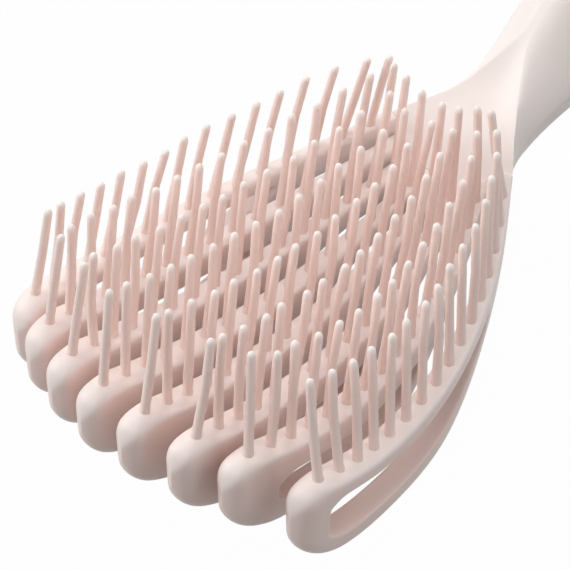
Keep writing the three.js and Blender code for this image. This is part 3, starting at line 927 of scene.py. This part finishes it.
@dataclass(frozen=True)
class Handle:
    """Neck and grip as two shells that meet on the middle line, and the comb in their mouth.

    The front is scooped at the neck, with two edges that close in a V to a soft ridge; the back is
    round. Under the outer fingers the sides are tucked in below the edges. Sizes in millimetres.
    """

    line: HandleLine = HandleLine()
    root_half_width: float = 17.3
    neck_half_width: float = 8.3
    neck_at: float = 93.6
    grip_half_width: float = 12.9
    grip_at: float = 132.0
    root_front_rise: float = 4.75
    neck_front_rise: float = 4.6
    ridge_rise: float = 10.9
    ridge_from: float = 88.9
    ridge_at: float = 103.4
    crest_rise: float = 3.6
    crest_from: float = 101.0
    crest_at: float = 112.0
    crest_end: float = 150.0
    root_scoop: float = 2.8
    neck_scoop: float = 1.6
    scoop_edge: float = 1.6
    ridge_closing: float = 0.9
    root_tuck: float = 4.0
    tuck_from: float = 78.9
    tuck_end: float = 93.0
    root_back_drop: float = 3.0
    neck_back_drop: float = 8.5
    grip_back_drop: float = 11.7
    end_round: float = 12.0
    root_squareness: float = 0.8
    square_until: float = 0.6
    wall: float = 1.1
    seam: float = 0.02
    least: float = 0.05
    sharp_angle: float = 50.0
    comb_front: float = 0.3
    comb_depth: float = 7.5
    comb_room: float = 0.15
    face_share: float = 0.7
    side_power: float = 1.5
    crowd_power: float = 1.4
    crowd_from: float = 0.4
    along: int = 110
    across: int = 57
    comb_along: int = 8

    def sizes(self, y: Array, inset: float) -> dict[str, Array]:
        """Sizes of the cross-section at y, drawn in by an inset.

        Args:
            y: Places along the handle.
            inset: How far to draw the section in.

        Returns:
            Half width on the middle line, front rise, scoop, edge of the scoop, back drop and
            squareness of the back.
        """
        to_neck = np.clip((y - self.line.root_y) / (self.neck_at - self.line.root_y), 0.0, 1.0)
        to_grip = smooth(y, self.neck_at, self.grip_at)
        to_ridge = smooth(y, self.ridge_from, self.ridge_at)
        from_end = np.clip((self.line.end_y - inset - y) / self.end_round, 0.0, 1.0)
        rounding = np.sqrt(np.maximum(1 - (1 - from_end) ** 2, 0.0))
        neck_width = lerp(self.root_half_width, self.neck_half_width, smooth(to_neck, 0, 1))
        width = lerp(neck_width, self.grip_half_width, to_grip)
        half = np.maximum(width * rounding - inset, self.least)
        rise = lerp(self.root_front_rise, self.neck_front_rise, to_neck)
        crest = smooth(y, self.crest_from, self.crest_at) - smooth(y, self.crest_at, self.crest_end)
        rise = lerp(rise, self.ridge_rise, to_ridge) + self.crest_rise * crest
        drop = lerp(self.root_back_drop, self.neck_back_drop, to_neck)
        drop = lerp(drop, self.grip_back_drop, to_grip)
        edge = np.maximum(half - self.scoop_edge, half / 2)
        return {
            "half": half - self.root_tuck * (1 - smooth(y, self.tuck_from, self.tuck_end)),
            "front": np.maximum(rise * rounding - inset, self.least),
            "scoop": lerp(self.root_scoop, self.neck_scoop, to_neck) * (1 - to_ridge),
            "edge": edge * (1 - self.ridge_closing * to_ridge),
            "back": np.maximum(drop * rounding - inset, self.least),
            "square": lerp(self.root_squareness, 1.0, smooth(to_neck, 0, self.square_until)),
        }

    def skin(self, half: Half, y: Array, u: Array, inset: float) -> Array:
        """Points of one half's skin.

        The front is a parabola across the scooped face, then runs from the face's edge to the
        middle line in a soft curve, half a power and half a circle, that may go under the edge. The
        back is a power of the cosine and sine of an angle, squarer at the root.

        Args:
            half: Which shell.
            y: Places along the handle, shape (along, across).
            u: Share across from -1 to 1, the same shape.
            inset: How far to draw the skin in.

        Returns:
            Points in the brush's frame, shape (along, across, 3).
        """
        size = self.sizes(y, inset)
        middle = self.line.height(y)
        out = np.abs(u)
        if half is Half.FRONT:
            face = np.clip(out / self.face_share, 0.0, 1.0)
            beyond = np.clip((out - self.face_share) / (1 - self.face_share), 0.0, 1.0)
            r = np.sin(beyond * math.pi / 2)
            soft = 0.5 * (1 - r**self.side_power) + 0.5 * np.sqrt(np.maximum(1 - r * r, 0.0))
            x = size["edge"] * face + (size["half"] - size["edge"]) * r
            rise = np.where(r > 0, (size["front"] + size["scoop"]) * soft,
                            size["front"] + size["scoop"] * face**2)
            z = middle + np.maximum(rise, self.seam)
        else:
            angle = (1 - out) * math.pi / 2
            x = size["half"] * np.cos(angle) ** size["square"]
            z = middle - np.maximum(size["back"] * np.sin(angle) ** size["square"], self.seam)
        return np.stack([np.sign(u) * x, y, z], axis=-1)

    def bowed(self, half: Half, y: Array, u: Array, inset: float) -> Array:
        """Skin whose front edge follows the arc on which the fingers end.

        Each place moves back by the arc's depth at its own x, less and less towards the neck. The
        arguments and the points returned are those of skin, with y as it is before the bow.
        """
        points = self.skin(half, y, u, inset)
        fade = 1 - smooth(y, self.line.mouth_y, self.neck_at)
        return self.skin(half, y + self.line.bow(points[..., 0]) * fade, u, inset)

    def grid(self, start: float, end: float, along: int) -> tuple[Array, Array]:
        """Grid of a skin: places along y, by two powers of the share that crowd both ends.

        Args:
            start: First place.
            end: Last place.
            along: Number of places.

        Returns:
            Places along and shares across from -1 to 1, each of shape (along, across).
        """
        s = np.linspace(0, 1, along)
        crowded = lerp(s**self.crowd_power, 1 - (1 - s) ** 2, smooth(s, self.crowd_from, 1.0))
        y = lerp(start, end, crowded)
        return np.meshgrid(y, np.linspace(-1, 1, self.across), indexing="ij")

    def block(self, ring: Array, pose: RestPose) -> tuple[Array, Array]:
        """Closes a stack of rings, each an outer row and a returning row, into a solid.

        Args:
            ring: Points in the brush's frame, shape (along, 2 x across, 3).
            pose: Where the brush lies.

        Returns:
            Points in the row frame and faces.
        """
        points = pose.place(ring)
        points[..., 2] = np.maximum(points[..., 2], 0.0)
        rings, around = points.shape[:2]
        return points.reshape(-1, 3), tube_faces(rings, around)

    def build(self, half: Half, pose: RestPose, finish: Material) -> Object:
        """Makes one shell: outer skin, inner skin a wall inside it, and the rims between them.

        Args:
            half: Which shell.
            pose: Where the brush lies.
            finish: The shells' plastic.

        Returns:
            The shell's object.
        """
        y, u = self.grid(self.line.mouth_y, self.line.end_y, self.along)
        outer = self.bowed(half, y, u, 0.0)
        inner = self.bowed(half, np.minimum(y, self.line.end_y - 2 * self.wall), u, self.wall)
        points, faces = self.block(np.concatenate([outer, inner[:, ::-1]], axis=1), pose)
        faces = faces[:, :: half.value]
        shell = mesh_object(f"handle_{half.name.lower()}", points, faces, finish)
        shell.data.set_sharp_from_angle(angle=math.radians(self.sharp_angle))
        return shell

    def build_comb(self, pose: RestPose, finish: Material) -> Object:
        """Makes the comb: a block that fills the mouth between the shells' inner skins.

        Args:
            pose: Where the brush lies.
            finish: The comb's plastic.

        Returns:
            The comb's object.
        """
        mouth = self.line.mouth_y
        y, u = self.grid(mouth + self.comb_front, mouth + self.comb_depth, self.comb_along)
        front, rear = (self.bowed(half, y, u, self.wall + self.comb_room) for half in Half)
        points, faces = self.block(np.concatenate([front, rear[:, ::-1]], axis=1), pose)
        return mesh_object("handle_comb", points, faces, finish)


@dataclass(frozen=True)
class Lamp:
    """A square soft light that looks at the head or at another point, in watts and metres."""

    name: str
    place: Point
    power: float
    aim: Point = (0.0, -0.05, 0.02)
    size: float = 0.8

    def build(self) -> None:
        """Adds the light to the scene."""
        data = bpy.data.lights.new(self.name, "AREA")
        data.size, data.energy = self.size, self.power
        lamp = bpy.data.objects.new(self.name, data)
        lamp.location = self.place
        look = Vector(self.aim) - Vector(self.place)
        lamp.rotation_euler = look.to_track_quat("-Z", "Y").to_euler()
        bpy.context.scene.collection.objects.link(lamp)


@dataclass(frozen=True)
class Studio:
    """Floor, soft light, white surround and the camera.

    The camera's angles are in degrees of the brush's frame, its distance and target in millimetres,
    its focal length and centre in pixels of the image. The floor's sizes are in metres.

    Attributes:
        floor_glow: Share of plain white in the floor as the camera sees it.
        floor_grey: Colour of the rest.
    """

    azimuth: float = 41.63
    elevation: float = 40.84
    roll: float = 0.88
    distance: float = 367.3
    target: Point = (1.41, 38.81, 8.0)
    focal: float = 2200.0
    centre: Span = (294.1, 276.2)
    sensor: float = 36.0
    clip: Span = (0.02, 20.0)
    lamps: tuple[Lamp, ...] = (
        Lamp("key", (-1.0, -0.6, 0.7), 9.6),
        Lamp("back", (-0.7, 0.9, 0.8), 7.6),
        Lamp("top", (0.0, 0.0, 1.3), 2.8),
        Lamp("front", (0.1, -0.8, 1.0), 4.2),
        Lamp("rim", (0.45, 0.3, 0.4), 1.5, aim=(0.0, 0.0, 0.03), size=0.5),
    )
    world_strength: float = 0.144
    floor_glow: float = 0.985
    floor_grey: float = 0.3
    floor_half: float = 3.0
    floor_drop: float = 0.0002

    def camera(self, pose: RestPose) -> None:
        """Puts the camera where the fit to the picture has it, turned with the brush.

        Args:
            pose: Where the brush lies.
        """
        a, e, r = (math.radians(v) for v in (self.azimuth, self.elevation, self.roll))
        back = np.array([math.sin(a) * math.cos(e), -math.cos(a) * math.cos(e), math.sin(e)])
        right = np.array([math.cos(a), math.sin(a), 0.0])
        up = np.cross(back, right)
        level, upright = math.cos(r), math.sin(r)
        turned = np.stack([right * level + up * upright, up * level - right * upright, back])
        place = pose.place(np.array(self.target) + back * self.distance)
        matrix = Matrix(pose.turn(turned).T.tolist()).to_4x4()
        matrix.translation = Vector(place)
        data = bpy.data.cameras.new("camera")
        data.sensor_width = self.sensor
        data.lens = self.focal / IMAGE_SIDE * data.sensor_width
        data.shift_x = (IMAGE_SIDE / 2 - self.centre[0]) / IMAGE_SIDE
        data.shift_y = (self.centre[1] - IMAGE_SIDE / 2) / IMAGE_SIDE
        data.clip_start, data.clip_end = self.clip
        camera = bpy.data.objects.new("camera", data)
        camera.matrix_world = matrix
        bpy.context.scene.collection.objects.link(camera)
        bpy.context.scene.camera = camera

    def floor(self) -> None:
        """Makes the pale floor: mostly white to the camera, the rest takes the soft shadow.

        The camera sees it straight or through gloss or glass.
        """
        corners = self.floor_half * np.array([[-1, -1, 0], [1, -1, 0], [1, 1, 0], [-1, 1, 0]])
        corners[:, 2] = -self.floor_drop
        shader = Shader(bpy.data.materials.new("floor_white"))
        path = shader.node("LightPath", {}, {})
        straight, gloss, glass = (
            Value(shader, path.outputs[f"Is {kind} Ray"])
            for kind in ("Camera", "Glossy", "Transmission")
        )
        seen = (straight + gloss + glass).minimum(1.0)
        glow = shader.node("Emission", {}, {"Color": WHITE, "Strength": 1.0})
        matte = shader.node("BsdfDiffuse", {}, {"Color": (self.floor_grey,) * 3})
        inputs = {0: seen * self.floor_glow, 1: matte.outputs[0], 2: glow.outputs[0]}
        mix = shader.node("MixShader", {}, inputs)
        shader.node("OutputMaterial", {}, {"Surface": mix.outputs[0]})
        made = mesh_object("floor", corners, np.array([[0, 1, 2, 3]]), shader.owner)

    def world(self) -> None:
        """Sets the surround: white to the camera and a plain even light on the object."""
        shader = Shader(bpy.data.worlds.new("surround"))
        bpy.context.scene.world = shader.owner
        straight = shader.value("LightPath", {}, {}, "Is Camera Ray")
        strength = straight * (1 - self.world_strength) + self.world_strength
        glow = shader.node("Background", {}, {"Color": WHITE, "Strength": strength})
        shader.node("OutputWorld", {}, {"Surface": glow.outputs[0]})

    def build(self, pose: RestPose) -> None:
        """Builds the whole set.

        Args:
            pose: Where the brush lies.
        """
        bpy.context.scene.view_settings.view_transform = "Standard"
        self.camera(pose)
        self.floor()
        self.world()
        for lamp in self.lamps:
            lamp.build()


BODY = SatinPlastic("body_plastic", linear(248, 239, 235), linear(245, 233, 228))
# The loops' deep colour is painted shade on their sides and away from the handle.
LOOPS_PAINTED_SHADE = LoopPlasticWithPaintedShade("loop_plastic_painted_shade", linear(248, 238, 234), linear(243, 219, 211))
# The pins' pale colour is a painted highlight at their tips.
PINS = PinPlasticWithPaintedHighlight(
    "pin_plastic", linear(253, 241, 236), linear(251, 226, 218),
    roughness=0.36, shine=0.25, glow=0.3,
)
COMB = SatinPlastic("comb_plastic", linear(238, 220, 214), linear(232, 212, 205), roughness=0.5)


@dataclass(frozen=True)
class Brush:
    """The whole brush: fingers, each with its own stray, pins, shells and comb."""

    strays: tuple[float, ...] = (-0.3, -0.1, 0.05, 0.0, 0.35, 0.85, -0.3, 0.65)

    @property
    def lines(self) -> list[FingerLine]:
        """Lines of the fingers, spread evenly from left to right."""
        sides = np.linspace(-1, 1, len(self.strays))
        return [FingerLine(float(s), stray=stray) for s, stray in zip(sides, self.strays)]

    def build(self, pose: RestPose) -> None:
        """Builds every piece and sets it on its CAD body.

        Args:
            pose: Where the brush lies.
        """
        body, loops, pins = BODY.material(), LOOPS_PAINTED_SHADE.material(), PINS.material()
        for number, line in enumerate(self.lines, start=1):
            on = f"finger_{number}"
            loop = Finger(number, line).build(pose, loops)
            self.settle(loop, on, f"finger_frame_{number}", "body_plastic")
            row = PinRow(number, line).build(pose, pins)
            self.settle(row, on, f"pin_strip_{number}", "pin_plastic")
        handle = Handle()
        for half in Half:
            shell = handle.build(half, pose, body)
            self.settle(shell, "handle", f"handle_{half.name.lower()}_shell", "body_plastic")
        self.settle(handle.build_comb(pose, COMB.material()), "handle", "root_comb", "comb_plastic")

    @staticmethod
    def settle(piece: Object, body: str, node: str, slot: str) -> None:
        """Lets a piece ride on a body in place of a CAD node.

        Args:
            piece: The dressed piece.
            body: Body of the part.
            node: CAD node that the piece stands for.
            slot: Slot of the record; not used.
        """
        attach(piece, body)
        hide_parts(node)
        log.info("%s stands for %s on %s", piece.name, node, body)


def main() -> None:
    logging.basicConfig(level=logging.INFO, format="%(message)s")
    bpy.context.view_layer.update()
    brush = Brush()
    pose = RestPose.from_joints(frame["joints"], brush.lines)
    log.info("rest pose: tilt %.3f degrees, shift %s", math.degrees(pose.tilt), pose.shift)
    brush.build(pose)
    Studio().build(pose)


if __name__ == "__main__":
    main()
